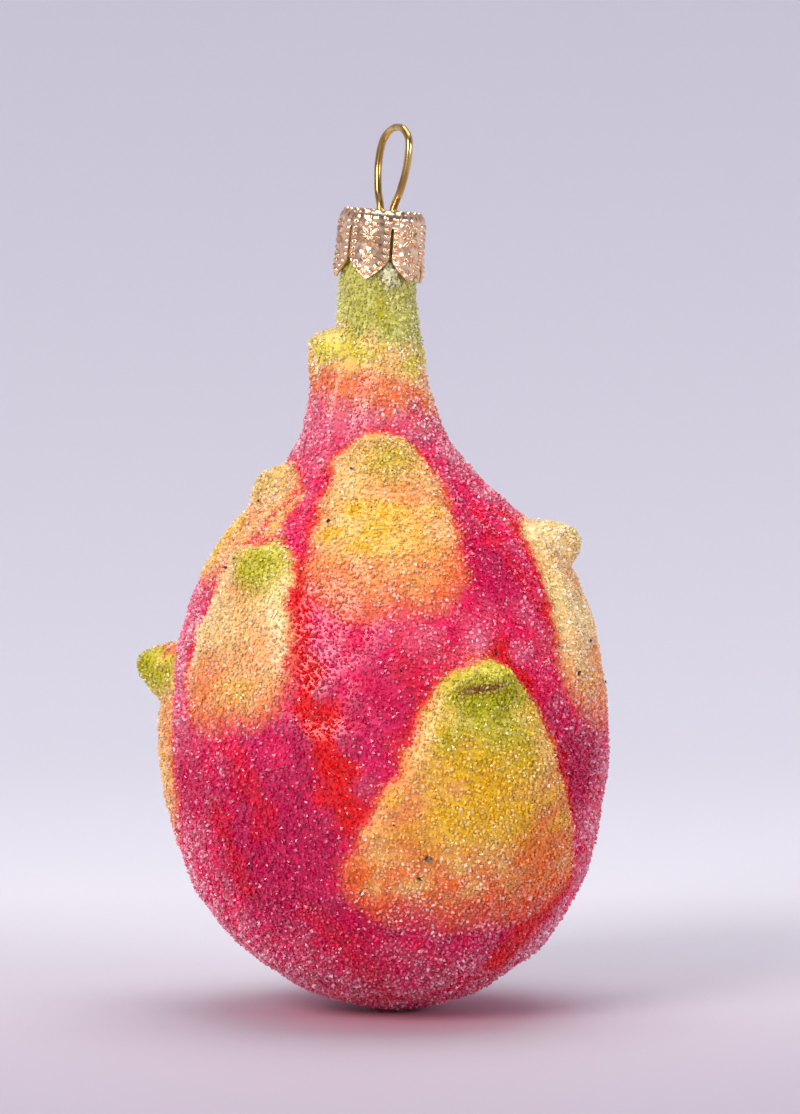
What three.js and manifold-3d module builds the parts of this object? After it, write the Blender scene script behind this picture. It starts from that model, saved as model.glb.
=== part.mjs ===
// A blown-glass tree ornament in the shape of a dragon fruit: a thin glass bulb with raised bracts and a
// coat of crystals, a pressed metal cap on its neck, and the bent spring wire that it hangs by.
// Millimetres, +Z up, front towards -Y. The origin is where a hook touches the top of the wire's eye.
// Heights in this file are counted from the bulb's lowest point, and the whole is lowered at the end.

import * as THREE from 'three';
import { mergeVertices } from 'three/addons/utils/BufferGeometryUtils.js';
import Module from 'manifold-3d';

const wasm = await Module();
wasm.setup();

const { clamp, degToRad, lerp } = THREE.MathUtils;

// Glass bulb
const BELLY_RADIUS = 27.6;
const BELLY_HEIGHT = 33;
const NECK_RADIUS = 4.9;
const LIP_RADIUS = 4.45; // the neck's open end, inside the cap
const NECK_TOP = 98.7;
// The neck was drawn out a little to the left of the belly's axis, and the lowest point lies to its right
const NECK_LEAN = 1.1;
const LEAN_FROM = 54;
const LEAN_TO = 82;
const NECK_BEND = 91; // the height above which the neck, and the cap on it, tilt back to the right
const CAP_TILT = 5;
const TIP_LEAN = 1;
const TIP_LEAN_TO = 20;
const GLASS_WALL = 1.1; // glass, lacquer and crystals together
const BULB_ROWS = 59;
const BULB_COLUMNS = 84;
const INSIDE_ROWS = 22;
const INSIDE_COLUMNS = 20;

// Crystal coat: a coarse grain on the outside of the glass
const GRAIN_HEIGHT = 0.26;

// Bracts, as the mould forms them: a raised blade that widens downwards, and a blunt knob at its upper end
const TIP_HALF_WIDTH = 4.8;
const TIP_ROUND = 4.5; // the length over which the upper end rounds off
const TIP_LEAST = 0.3; // above this length the tip keeps its width
const BLADE_EDGE = 2.4;
const BLADE_ABOVE = 0.4; // how far above its tip a blade starts to rise
const BLADE_RISE_LENGTH = 1.6;
const FADE_FROM_SHARE = 0.3; // below this share of its length a blade sinks back into the skin
const WIDEST_SHARE = 0.72;
const KNOB_HALF_WIDTH = 4.1;
const KNOB_ABOVE = 2.1;
const KNOB_BELOW = 5.6;
const KNOB_ROUND = 0.5; // the power of the knob's upper half, and of the slope below it
const KNOB_SLOPE = 1.3;
const KNOB_PULL = 0.5; // how strongly the net of faces gathers at a knob
const KNOB_PULL_REACH = 9;

// turn: degrees from the front, to the right. tip: height of the upper end. The rest is in mm on the skin.
const BRACTS = [
  { turn: -78, tip: 85.2, length: 29, half: 8.5, rise: 1.8, knob: 1.1 },
  { turn: 0, tip: 72.3, length: 27, half: 11.6, rise: 1.1, knob: 0.9 },
  { turn: -88, tip: 68.2, length: 25, half: 8, rise: 0.5, knob: 2.6 },
  { turn: 80, tip: 61.5, length: 31, half: 12, rise: 1, knob: 3.8 },
  { turn: -47, tip: 59.2, length: 27, half: 9.6, rise: 0.9, knob: 2.4 },
  { turn: -91, tip: 45.9, length: 31, half: 10, rise: 0.8, knob: 3.9 },
  { turn: 26, tip: 45.4, length: 36, half: 18, rise: 1.4, knob: 1.6 },
  { turn: 162, tip: 80.5, length: 18, half: 7, rise: 1.1, knob: 1.3 },
  { turn: 144, tip: 68.5, length: 30, half: 10.5, rise: 1.1, knob: 2.4 },
  { turn: -142, tip: 61, length: 29, half: 10.5, rise: 1, knob: 3 },
  { turn: 178, tip: 49, length: 33, half: 13, rise: 1.2, knob: 3 },
  { turn: 129, tip: 38.5, length: 30, half: 12, rise: 1.1, knob: 3.2 },
  { turn: -137, tip: 32.5, length: 26, half: 11, rise: 1.1, knob: 2.8 },
];

// Cap, measured down from its flat top
const CAP_TOP = 99.95;
const CAP_RADIUS = 5.3;
const CAP_FLARE = 0.2;
const CAP_FLARE_FROM = 2;
const CAP_LENGTH = 8.75;
const CAP_SHEET = 0.3;
const CAP_SHOULDER = 1.35;
const CAP_SEGMENTS = 36;
const PETALS = 6;
const FIRST_SLIT_TURN = 15;
const SLIT_FROM = 2.2;
const SLIT_TO = 6;
const SLIT_HALF_WIDTH = 0.19;
const NOTCH_CORNER = 0.8;
const NOTCH_CORNER_DEPTH = 7.5;
const WIRE_HOLE_RADIUS = 0.85;
const WIRE_HOLE_SIDES = 12;

// Embossing on the cap's petals
const BEAD_RADIUS = 0.25;
const BEAD_STEP = 0.85;
const EDGE_BEADS = 6;
const EDGE_BEADS_FROM = 1.7;
const EDGE_INSET = 0.55;
const POINT_BEADS = 2; // towards the petal's point, on each side
const POINT_INSET = 0.5;
const RIM_BEADS = 4;
const RIM_BEAD_DEPTH = 0.3;
const STAR_DEPTH = 3.5;
const STAR_RAYS = 8;
const STAR_RADIUS = 1.35;
const STAR_NOTCH_RADIUS = 0.42;
const STAR_RISE = 0.22;
const STAR_SUNK = 0.04;
const DIAMOND_DEPTH = 6.1;
const DIAMOND_HALF = 0.55;

// Hanger wire
const WIRE_RADIUS = 0.47;
const EYE_TURN = -60; // the eye's plane, seen from above, from +X
const EYE_TOP = 110.2; // the wire's centreline at the top of the eye
const EYE_HALF_WIDTH = 3.6;
const EYE_SIDE_LEAN = 1.35;
const LEG_HALF_GAP = 1.6;
const LEG_OFFSET = 0.42; // the legs come out a little to the right of the cap's middle
const LEG_TIP = 70;
const LEG_OFFSET_FROM = 92; // below this height the legs are in the middle of the neck
const WIRE_STEPS = 76;

// Half the gap between the wire's two sides, at heights from a leg's tip to near the top of the eye
const WIRE_HALF_GAPS = [
  [6.4, LEG_TIP],
  [3.3, 79],
  [2.55, 86],
  [2.3, LEG_OFFSET_FROM],
  [1.75, 96.4],
  [LEG_HALF_GAP, CAP_TOP],
  [2.8, 102.4],
  [EYE_HALF_WIDTH, 105.6],
  [3.2, 108.6],
  [1.6, 109.9],
];

const smooth = (x) => {
  const t = clamp(x, 0, 1);
  return t * t * (3 - 2 * t);
};

// A number from -1 to 1 that is always the same for the same place
const hash = (a, b) => {
  const x = Math.sin(a * 127.1 + b * 311.7) * 43758.5453;
  return (x - Math.floor(x)) * 2 - 1;
};

// Turns a closed geometry into a solid that can be joined and cut
function solid(geometry) {
  const bare = new THREE.BufferGeometry();
  bare.setAttribute('position', geometry.getAttribute('position'));
  if (geometry.index) bare.setIndex(geometry.index);
  const merged = mergeVertices(bare, 1e-4);
  const corners = merged.index.array;
  const faces = [];
  for (let i = 0; i < corners.length; i += 3) {
    const [a, b, c] = [corners[i], corners[i + 1], corners[i + 2]];
    if (a !== b && b !== c && c !== a) faces.push(a, b, c);
  }
  return new wasm.Manifold(
    new wasm.Mesh({
      numProp: 3,
      vertProperties: new Float32Array(merged.getAttribute('position').array),
      triVerts: new Uint32Array(faces),
    }),
  );
}

function geometryOf(manifold) {
  const mesh = manifold.getMesh();
  const geometry = new THREE.BufferGeometry();
  geometry.setAttribute('position', new THREE.BufferAttribute(mesh.vertProperties, 3));
  geometry.setIndex(new THREE.BufferAttribute(mesh.triVerts, 1));
  geometry.computeVertexNormals();
  return geometry;
}

// A closed body of rings round an axis. place(row, column) gives each corner, and bottom and top close it.
function ringed(rows, columns, place, bottom, top) {
  const corners = [bottom];
  for (let row = 0; row < rows; row++) {
    for (let column = 0; column < columns; column++) corners.push(place(row, column));
  }
  corners.push(top);
  const at = (row, column) => 1 + row * columns + (column % columns);
  const faces = [];
  for (let column = 0; column < columns; column++) {
    faces.push(0, at(0, column + 1), at(0, column));
    for (let row = 1; row < rows; row++) {
      const [a, b] = [at(row - 1, column), at(row - 1, column + 1)];
      const [c, d] = [at(row, column + 1), at(row, column)];
      faces.push(a, b, c, a, c, d);
    }
    faces.push(corners.length - 1, at(rows - 1, column), at(rows - 1, column + 1));
  }
  const geometry = new THREE.BufferGeometry().setFromPoints(corners);
  geometry.setIndex(faces);
  return solid(geometry);
}

// The bulb's side, from the lowest point up to the neck: radius, height
const side = new THREE.SplineCurve(
  [
    [0, 0],
    [6, 1],
    [13, 4],
    [19.7, 9.2],
    [25.3, 18.6],
    [BELLY_RADIUS, BELLY_HEIGHT],
    [25.6, 46.4],
    [20.6, 58],
    [12.4, 66.4],
    [8.3, 71.8],
    [6.7, 77],
    [5.5, 82],
    [NECK_RADIUS, 87],
    [LIP_RADIUS, NECK_TOP],
  ].map(([radius, height]) => new THREE.Vector2(radius, height)),
);
side.arcLengthDivisions = 600;
const SIDE_LENGTH = side.getLength();

// The share of the side's length at which a height lies
function shareAtHeight(height) {
  let low = 0;
  let high = 1;
  for (let i = 0; i < 30; i++) {
    const middle = (low + high) / 2;
    if (side.getPointAt(middle).y < height) low = middle;
    else high = middle;
  }
  return low;
}

const bracts = BRACTS.map((bract) => ({
  ...bract,
  angle: degToRad(bract.turn),
  share: shareAtHeight(bract.tip),
}));

// Turns back an angle into the half turn on either side of zero
const wrap = (angle) => Math.atan2(Math.sin(angle), Math.cos(angle));

// Half a bract's width at a place `down` mm below its tip: round at both ends, and wider downwards between
function bractHalfWidth(bract, down) {
  const share = down / bract.length;
  const fromTop = clamp(1 - down / TIP_ROUND, 0, 1);
  const pastWidest = clamp((share - WIDEST_SHARE) / (1 - WIDEST_SHARE), 0, 1);
  const straight = lerp(TIP_HALF_WIDTH, bract.half, clamp(share / WIDEST_SHARE, 0, 1));
  return straight * Math.sqrt((1 - fromTop ** 2) * (1 - pastWidest ** 2));
}

// How far a bract lifts the skin at a place `down` mm below its tip and `aside` mm beside its middle
function bractLift(bract, down, aside) {
  const share = down / bract.length;
  if (share > 1 || down < -KNOB_ABOVE / 2) return 0;
  const half = bractHalfWidth(bract, Math.max(down, TIP_LEAST));
  const begun = smooth((down + BLADE_ABOVE) / BLADE_RISE_LENGTH);
  const inside = begun * smooth((half - Math.abs(aside)) / BLADE_EDGE);
  const blade = bract.rise * inside * (1 - smooth((share - FADE_FROM_SHARE) / (1 - FADE_FROM_SHARE)));
  const below = down - KNOB_ABOVE;
  const reach = below < 0 ? KNOB_ABOVE : KNOB_BELOW;
  const away = (aside / KNOB_HALF_WIDTH) ** 2 + (below / reach) ** 2;
  const power = lerp(KNOB_ROUND, KNOB_SLOPE, smooth((below + 1) / 3));
  const knob = away < 1 ? bract.knob * (1 - away) ** power : 0;
  return blade + knob;
}

// A place on the bulb's outside. share runs up the side from 0 to 1, and angle from the front to the right.
function skin(share, angle) {
  const { x: radius, y: height } = side.getPointAt(clamp(share, 0, 1));
  let lift = 0;
  for (const bract of bracts) {
    const down = (bract.share - share) * SIDE_LENGTH;
    lift = Math.max(lift, bractLift(bract, down, wrap(angle - bract.angle) * radius));
  }
  return { radius: radius + lift, height };
}

// Gathers a place of the even net towards the knobs, where the form is finest
function gathered(share, angle) {
  const radius = side.getPointAt(clamp(share, 0, 1)).x;
  let toShare = share;
  let toAngle = angle;
  for (const bract of bracts) {
    const middle = bract.share - KNOB_ABOVE / SIDE_LENGTH;
    const up = (share - middle) * SIDE_LENGTH;
    const aside = wrap(angle - bract.angle);
    const pull = KNOB_PULL * Math.exp(-(up ** 2 + (aside * radius) ** 2) / KNOB_PULL_REACH ** 2);
    toShare -= (pull * up) / SIDE_LENGTH;
    toAngle -= pull * aside;
  }
  return { share: toShare, angle: toAngle };
}

// How far the bulb's axis lies to the right at a height
function leanAt(height) {
  const neck = NECK_LEAN * smooth((height - LEAN_FROM) / (LEAN_TO - LEAN_FROM));
  const bend = Math.tan(degToRad(CAP_TILT)) * clamp(height - NECK_BEND, 0, CAP_TOP - NECK_BEND);
  return TIP_LEAN * Math.max(0, 1 - height / TIP_LEAN_TO) - neck + bend;
}

// A point round the bulb's axis
function around(radius, angle, height) {
  return new THREE.Vector3(leanAt(height) + radius * Math.sin(angle), -radius * Math.cos(angle), height);
}

function glassBulb() {
  const outside = ringed(
    BULB_ROWS,
    BULB_COLUMNS,
    (row, column) => {
      const share = (row + 1) / BULB_ROWS;
      const angle = (column / BULB_COLUMNS) * 2 * Math.PI;
      if (row === BULB_ROWS - 1) return around(LIP_RADIUS, angle, NECK_TOP);
      const place = gathered(share, angle);
      const { radius, height } = skin(place.share, place.angle);
      return around(radius + (GRAIN_HEIGHT / 2) * hash(row, column), place.angle, height);
    },
    around(0, 0, 0),
    around(0, 0, NECK_TOP),
  );
  // The inside runs on past the neck's top, so that the neck is open
  const insideTop = NECK_TOP + 1;
  const inside = ringed(
    INSIDE_ROWS,
    INSIDE_COLUMNS,
    (row, column) => {
      const share = (row + 1) / INSIDE_ROWS;
      const { x: radius, y: height } = side.getPointAt(share);
      const along = side.getTangentAt(share);
      const angle = (column / INSIDE_COLUMNS) * 2 * Math.PI;
      const inset = radius - GLASS_WALL * along.y;
      return around(inset, angle, row === INSIDE_ROWS - 1 ? insideTop : height + GLASS_WALL * along.x);
    },
    around(0, 0, GLASS_WALL),
    around(0, 0, insideTop),
  );
  return outside.subtract(inside);
}

// The cap's outer radius at a depth below its top
function capRadiusAt(depth) {
  if (depth < CAP_SHOULDER) {
    const rest = CAP_SHOULDER - depth;
    return CAP_RADIUS - CAP_SHOULDER + Math.sqrt(CAP_SHOULDER ** 2 - rest ** 2);
  }
  return CAP_RADIUS + CAP_FLARE * clamp((depth - CAP_FLARE_FROM) / (CAP_LENGTH - CAP_FLARE_FROM), 0, 1);
}

// The pressed sheet before it is slit: a cup, open downwards
function capCup() {
  const shoulder = CAP_RADIUS - CAP_SHOULDER;
  const inner = CAP_RADIUS - CAP_SHEET;
  const profile = new THREE.Path();
  profile.moveTo(0, -CAP_SHEET);
  profile.lineTo(shoulder, -CAP_SHEET);
  profile.absarc(shoulder, -CAP_SHOULDER, CAP_SHOULDER - CAP_SHEET, Math.PI / 2, 0, true);
  profile.lineTo(inner, -CAP_FLARE_FROM);
  profile.lineTo(inner + CAP_FLARE, -CAP_LENGTH);
  profile.lineTo(CAP_RADIUS + CAP_FLARE, -CAP_LENGTH);
  profile.lineTo(CAP_RADIUS, -CAP_FLARE_FROM);
  profile.absarc(shoulder, -CAP_SHOULDER, CAP_SHOULDER, 0, Math.PI / 2, false);
  profile.lineTo(0, 0);
  const cup = new THREE.LatheGeometry(profile.getPoints(2), CAP_SEGMENTS);
  cup.rotateX(Math.PI / 2);
  return solid(cup);
}

// What is cut away between two petals: a narrow slit that opens into a rounded notch
function petalGap(angle) {
  const petalHalf = (Math.PI / PETALS) * (CAP_RADIUS + CAP_FLARE);
  const clear = CAP_LENGTH + 1;
  const shape = new THREE.Shape();
  shape.moveTo(-SLIT_HALF_WIDTH, -SLIT_FROM);
  shape.lineTo(-SLIT_HALF_WIDTH, -SLIT_TO);
  shape.quadraticCurveTo(-NOTCH_CORNER, -NOTCH_CORNER_DEPTH, -petalHalf, -CAP_LENGTH);
  shape.lineTo(-petalHalf, -clear);
  shape.lineTo(petalHalf, -clear);
  shape.lineTo(petalHalf, -CAP_LENGTH);
  shape.quadraticCurveTo(NOTCH_CORNER, -NOTCH_CORNER_DEPTH, SLIT_HALF_WIDTH, -SLIT_TO);
  shape.lineTo(SLIT_HALF_WIDTH, -SLIT_FROM);
  const gap = new THREE.ExtrudeGeometry(shape, { depth: CAP_RADIUS, curveSegments: 4, bevelEnabled: false });
  gap.rotateX(Math.PI / 2);
  gap.translate(0, -CAP_RADIUS / 2, 0);
  gap.rotateZ(angle);
  return solid(gap);
}

// A raised bead on the cap, at a turn and a depth
function bead(angle, depth) {
  const radius = capRadiusAt(depth);
  const drop = new THREE.OctahedronGeometry(BEAD_RADIUS);
  drop.translate(0, -radius, -depth);
  drop.rotateZ(angle);
  return solid(drop);
}

// A raised star on the cap, highest in its middle
function star(angle, depth) {
  const corners = STAR_RAYS * 2;
  const place = (x, y, rise) => {
    const turned = angle + x / CAP_RADIUS;
    const radius = capRadiusAt(depth - y) + rise;
    return new THREE.Vector3(radius * Math.sin(turned), -radius * Math.cos(turned), y - depth);
  };
  return ringed(
    1,
    corners,
    (row, column) => {
      const reach = column % 2 ? STAR_NOTCH_RADIUS : STAR_RADIUS;
      const direction = (column / corners) * 2 * Math.PI;
      return place(reach * Math.cos(direction), reach * Math.sin(direction), -STAR_SUNK);
    },
    place(0, 0, -STAR_RISE),
    place(0, 0, STAR_RISE),
  );
}

// The pattern pressed into one petal: a star, a diamond of four beads, and beads along the edges
function petalPattern(middle) {
  const forms = [star(middle, STAR_DEPTH)];
  const lowestEdgeBead = EDGE_BEADS_FROM + (EDGE_BEADS - 1) * BEAD_STEP;
  for (const [x, y] of [[-1, 0], [1, 0], [0, -1], [0, 1]]) {
    forms.push(bead(middle + (x * DIAMOND_HALF) / CAP_RADIUS, DIAMOND_DEPTH + y * DIAMOND_HALF));
  }
  for (const hand of [-1, 1]) {
    const edge = Math.PI / PETALS - EDGE_INSET / CAP_RADIUS;
    for (let i = 0; i < EDGE_BEADS; i++) {
      forms.push(bead(middle + hand * edge, EDGE_BEADS_FROM + i * BEAD_STEP));
    }
    for (let i = 1; i <= POINT_BEADS; i++) {
      const share = i / (POINT_BEADS + 0.5);
      const depth = lerp(lowestEdgeBead, CAP_LENGTH - POINT_INSET, Math.sqrt(share));
      forms.push(bead(middle + hand * edge * (1 - share), depth));
    }
  }
  for (let i = 0; i < RIM_BEADS; i++) {
    forms.push(bead(middle + ((i + 0.5) / RIM_BEADS - 0.5) * ((2 * Math.PI) / PETALS), RIM_BEAD_DEPTH));
  }
  return forms;
}

// The two holes in the cap's top, on the line along which the wire's eye stands
const eyeTurn = degToRad(EYE_TURN);
const legPlaces = [-1, 1].map(
  (hand) => new THREE.Vector2(Math.cos(eyeTurn), Math.sin(eyeTurn)).multiplyScalar(hand * LEG_HALF_GAP),
);

function cap() {
  let sheet = capCup();
  for (let i = 0; i < PETALS; i++) {
    const slit = degToRad(FIRST_SLIT_TURN) + (i * 2 * Math.PI) / PETALS;
    sheet = sheet.subtract(petalGap(slit));
    for (const form of petalPattern(slit + Math.PI / PETALS)) sheet = sheet.add(form);
  }
  for (const place of legPlaces) {
    const length = 4 * CAP_SHEET;
    const hole = new THREE.CylinderGeometry(WIRE_HOLE_RADIUS, WIRE_HOLE_RADIUS, length, WIRE_HOLE_SIDES);
    hole.rotateX(Math.PI / 2);
    hole.translate(place.x + LEG_OFFSET, place.y, 0);
    sheet = sheet.subtract(solid(hole));
  }
  return sheet;
}

// The wire's centreline: up one leg, round the eye, and down the other leg
function wirePath() {
  const place = (hand, halfGap, height) => {
    const above = Math.max(0, (height - CAP_TOP) / (EYE_TOP - CAP_TOP));
    const offset = LEG_OFFSET * smooth((height - LEG_OFFSET_FROM) / (CAP_TOP - LEG_OFFSET_FROM));
    const sideways = offset + EYE_SIDE_LEAN * above;
    const along = hand * halfGap;
    return new THREE.Vector3(
      leanAt(height) + sideways + along * Math.cos(eyeTurn),
      along * Math.sin(eyeTurn),
      height,
    );
  };
  const up = WIRE_HALF_GAPS.map(([halfGap, height]) => place(-1, halfGap, height));
  const down = WIRE_HALF_GAPS.map(([halfGap, height]) => place(1, halfGap, height)).reverse();
  return new THREE.CatmullRomCurve3([...up, place(0, 0, EYE_TOP), ...down], false, 'centripetal');
}

function hangerWire(path) {
  const section = new THREE.Shape().absarc(0, 0, WIRE_RADIUS, 0, 2 * Math.PI, false);
  return new THREE.ExtrudeGeometry(section, { steps: WIRE_STEPS, curveSegments: 4, extrudePath: path });
}

const glass = new THREE.MeshStandardMaterial({ name: 'coated_glass', color: 0xd8396f, roughness: 0.45 });
const capMetal = new THREE.MeshStandardMaterial({
  name: 'cap_metal',
  color: 0xd9a184,
  metalness: 1,
  roughness: 0.25,
});
const wireMetal = new THREE.MeshStandardMaterial({
  name: 'wire_metal',
  color: 0xb8923f,
  metalness: 1,
  roughness: 0.22,
});

function named(name, geometry, material) {
  const mesh = new THREE.Mesh(geometry, material);
  mesh.name = name;
  return mesh;
}

const bulbMesh = named('glass_bulb', geometryOf(glassBulb()), glass);
const capMesh = named('cap', geometryOf(cap()), capMetal);
capMesh.position.set(leanAt(CAP_TOP), 0, CAP_TOP);
capMesh.rotation.y = degToRad(CAP_TILT);
const path = wirePath();
const wireMesh = named('hanger_wire', hangerWire(path), wireMetal);

const eyeTop = path.getPointAt(0.5);
const ornament = new THREE.Group();
ornament.add(bulbMesh, capMesh, wireMesh);
ornament.position.set(-eyeTop.x, -eyeTop.y, -(eyeTop.z - WIRE_RADIUS));

export default ornament;
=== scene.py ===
"""A blown-glass tree ornament in the shape of a dragon fruit, as it looks in the studio.

Lengths are in millimetres in the tables and functions of shape, and turn into metres where a mesh is
made. Heights are counted from the bulb's lowest point, and turns in degrees from the front, to the right.
"""

import math

import bmesh
import bpy
import numpy as np
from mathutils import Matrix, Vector


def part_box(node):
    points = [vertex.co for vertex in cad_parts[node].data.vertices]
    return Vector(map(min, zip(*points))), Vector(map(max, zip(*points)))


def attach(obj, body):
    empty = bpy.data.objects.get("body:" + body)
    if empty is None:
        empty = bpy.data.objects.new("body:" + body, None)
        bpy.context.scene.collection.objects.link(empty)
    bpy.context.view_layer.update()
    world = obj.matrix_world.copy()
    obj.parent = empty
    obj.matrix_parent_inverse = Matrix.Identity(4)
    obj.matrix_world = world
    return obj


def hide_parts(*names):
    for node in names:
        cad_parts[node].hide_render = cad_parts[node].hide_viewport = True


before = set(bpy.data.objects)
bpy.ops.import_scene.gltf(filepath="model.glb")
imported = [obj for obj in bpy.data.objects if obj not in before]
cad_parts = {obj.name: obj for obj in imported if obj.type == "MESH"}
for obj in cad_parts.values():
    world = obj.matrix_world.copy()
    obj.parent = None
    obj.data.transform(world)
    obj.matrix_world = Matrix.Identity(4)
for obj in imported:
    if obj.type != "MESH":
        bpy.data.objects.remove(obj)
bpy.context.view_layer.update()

MM = 0.001
SEED = 20

# Where the bulb stands in the frame, whose origin is where a hook touches the wire's eye
AXIS_X = -1.45
TIP_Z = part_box("glass_bulb")[0][2] / MM
BULB_FOOT = np.array([AXIS_X, 0, TIP_Z])

# The bulb's side from its lowest point up to the neck: radius, height
SIDE = [
    (0, 0), (6, 1), (13, 4), (19.7, 9.2), (25.3, 18.6), (27.6, 33), (25.6, 46.4),
    (20.6, 58), (12.4, 66.4), (8.3, 71.8), (6.7, 77), (5.5, 82), (4.9, 87), (4.45, 98.7),
]
NECK_LEAN, LEAN_FROM, LEAN_TO = 1.1, 54, 82
NECK_BEND, CAP_TILT = 91, 5
TIP_LEAN, TIP_LEAN_TO = 1, 20
NECK_RADIUS = 4.9  # where the heap of crystals lies
GLASS_WALL = 0.9
COAT_DEPTH = 0.2  # from the coat's mean outside to the lacquer under it
COATED_TO = 95.5  # the coat ends inside the cap

# Bracts: a blade that widens downwards, with a blunt knob at its upper end
TIP_HALF_WIDTH, TIP_ROUND, TIP_LEAST, WIDEST_SHARE = 4.8, 4.5, 0.3, 0.72
BLADE_EDGE, BLADE_ABOVE, BLADE_RISE_LENGTH, FADE_FROM_SHARE = 2.4, 0.4, 1.6, 0.3
KNOB_HALF_WIDTH, KNOB_ABOVE, KNOB_BELOW, KNOB_ROUND, KNOB_SLOPE = 4.1, 2.1, 5.6, 0.5, 1.3

# turn, height of the tip, length, half width, rise of the blade, rise of the knob;
# then how green the knob is, how deep the yellow is, how far down the colour reaches,
# a folded lip's depth, how pale the whole bract is, and how much wider than the blade its colour is
BRACTS = [
    (-78, 85.2, 29, 8.5, 1.8, 1.1, 0, 0, 0, 0, 0.5, 0),
    (0, 72.3, 27, 11.6, 1.1, 0.9, 0.45, 0.5, 1.02, 0.1, 0.35, 0),
    (-88, 68.2, 25, 8, 0.5, 2.6, 0.3, 0.75, 0.8, 0, 0.35, 3),
    (80, 61.5, 31, 12, 1, 3.8, 0.5, 0.2, 0.88, 0, 0.7, 1),
    (-47, 59.2, 27, 9.6, 0.9, 2.4, 0.8, 0.2, 0.9, 0, 0.7, 0.8),
    (-91, 45.9, 31, 10, 0.8, 3.9, 1, 0.3, 0.8, 0, 0.35, 0),
    (26, 45.4, 36, 18, 1.4, 1.6, 1, 1, 0.93, 0.5, 0, 0),
    (162, 80.5, 18, 7, 1.1, 1.3, 0.4, 0.2, 0.8, 0, 0.3, 0),
    (144, 68.5, 30, 10.5, 1.1, 2.4, 0.7, 0.5, 0.84, 0.3, 0.2, 0),
    (-142, 61, 29, 10.5, 1, 3, 0.9, 0.3, 0.84, 0, 0.4, 0),
    (178, 49, 33, 13, 1.2, 3, 1, 0.9, 0.88, 0.5, 0, 0),
    (129, 38.5, 30, 12, 1.1, 3.2, 0.9, 0.4, 0.86, 0, 0.3, 0),
    (-137, 32.5, 26, 11, 1.1, 2.8, 0.8, 0.6, 0.84, 0, 0.2, 0),
]

# Cap, measured down from its flat top, and its place over the neck
CAP_TOP, CAP_RADIUS, CAP_FLARE, CAP_FLARE_FROM, CAP_LENGTH = 99.95, 5.3, 0.2, 2, 8.75
CAP_SHEET, CAP_SHOULDER = 0.3, 1.35
PETALS, FIRST_SLIT_TURN, SLIT_FROM, SLIT_TO, SLIT_HALF_WIDTH = 6, 15, 2.2, 6, 0.19

# Wire: half the gap between its two sides, at heights from a leg's tip to near the top of the eye
WIRE_RADIUS, EYE_TURN, EYE_TOP, EYE_SIDE_LEAN = 0.47, -60, 110.2, 1.35
LEG_OFFSET, LEG_OFFSET_FROM, LEG_HALF_GAP = 0.42, 92, 1.6
WIRE_HALF_GAPS = [
    (6.4, 70), (3.3, 79), (2.55, 86), (2.3, LEG_OFFSET_FROM), (1.75, 96.4),
    (LEG_HALF_GAP, CAP_TOP), (2.8, 102.4), (3.6, 105.6), (3.2, 108.6), (1.6, 109.9),
]

# Colours of the lacquer, as red, green and blue out of 255
PINK = (242, 0, 92)
ROSE = (246, 30, 124)
MAGENTA = (208, 0, 84)
RED = (236, 0, 18)
BLUSH = (236, 118, 148)
CORAL = (244, 78, 66)
SALMON = (236, 122, 100)
ORANGE = (250, 118, 24)
PEACH = (246, 148, 74)
YELLOW = (250, 202, 34)
DEEP_YELLOW = (246, 196, 0)
CREAM = (250, 208, 116)
PALE_CREAM = (255, 232, 168)
LIME = (196, 188, 0)
PALE_LIME = (230, 222, 70)
PALE_GREEN = (216, 216, 128)
OLIVE = (150, 100, 0)
FROST = (255, 244, 246)
SOOT = (40, 22, 20)
PALETTE = {
    "pink": PINK, "rose": ROSE, "magenta": MAGENTA, "red": RED, "blush": BLUSH, "coral": CORAL,
    "salmon": SALMON, "orange": ORANGE, "peach": PEACH, "yellow": YELLOW, "deep_yellow": DEEP_YELLOW,
    "cream": CREAM, "pale_cream": PALE_CREAM, "lime": LIME, "pale_lime": PALE_LIME,
    "pale_green": PALE_GREEN, "olive": OLIVE,
}

# Red streaks in the lacquer: turn and height of the two ends, half width, strength
STREAKS = [
    (-30, 55, -19, 40, 2, 1), (-19, 40, -9, 27, 2.6, 1), (63, 61, 58, 50, 1.6, 1),
    (32, 46, 44, 36, 1.7, 0.9), (62, 17, 48, 8, 2.6, 0.9),
    (-42, 33, -34, 26, 2.2, 0.5), (44, 62, 50, 52, 1.2, 0.4),
    (-50, 27, -44, 17, 1.7, 0.5), (50, 33, 56, 24, 1.5, 0.5), (-12, 64, -20, 56, 1.2, 0.5),
    (-84, 44, -80, 33, 1.2, 0.6), (-22, 14, -8, 6, 2, 0.35), (108, 50, 100, 30, 2, 0.7),
    (-165, 40, -150, 18, 2.2, 0.8), (160, 30, 150, 14, 2, 0.7), (-115, 56, -108, 44, 1.6, 0.7),
]

# Patches where the lacquer is deep and the crystals over it are clear: turn, height, radius
DEEP_PATCHES = [
    (-24, 89.5, 4.6), (-16, 85.5, 4), (2, 39, 8.5), (-15, 34, 5.5), (-31, 21.5, 11.5), (36, 55.5, 6),
    (61, 31, 5.5), (-12, 12, 7), (110, 25, 9), (-105, 48, 6), (-170, 22, 8), (155, 58, 5),
    (-62, 30, 7), (90, 45, 6),
]

# Bands of colour round the neck: height where it begins, height in which it comes in, strength
NECK_BANDS = [
    ("salmon", 72.5, 4, 0.75), ("peach", 75.6, 2.4, 0.7), ("cream", 77.8, 2.6, 0.9),
    ("pale_lime", 79.5, 2.4, 0.75), ("pale_green", 82.4, 3, 0.9), ("lime", 83.4, 3, 1),
]
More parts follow.
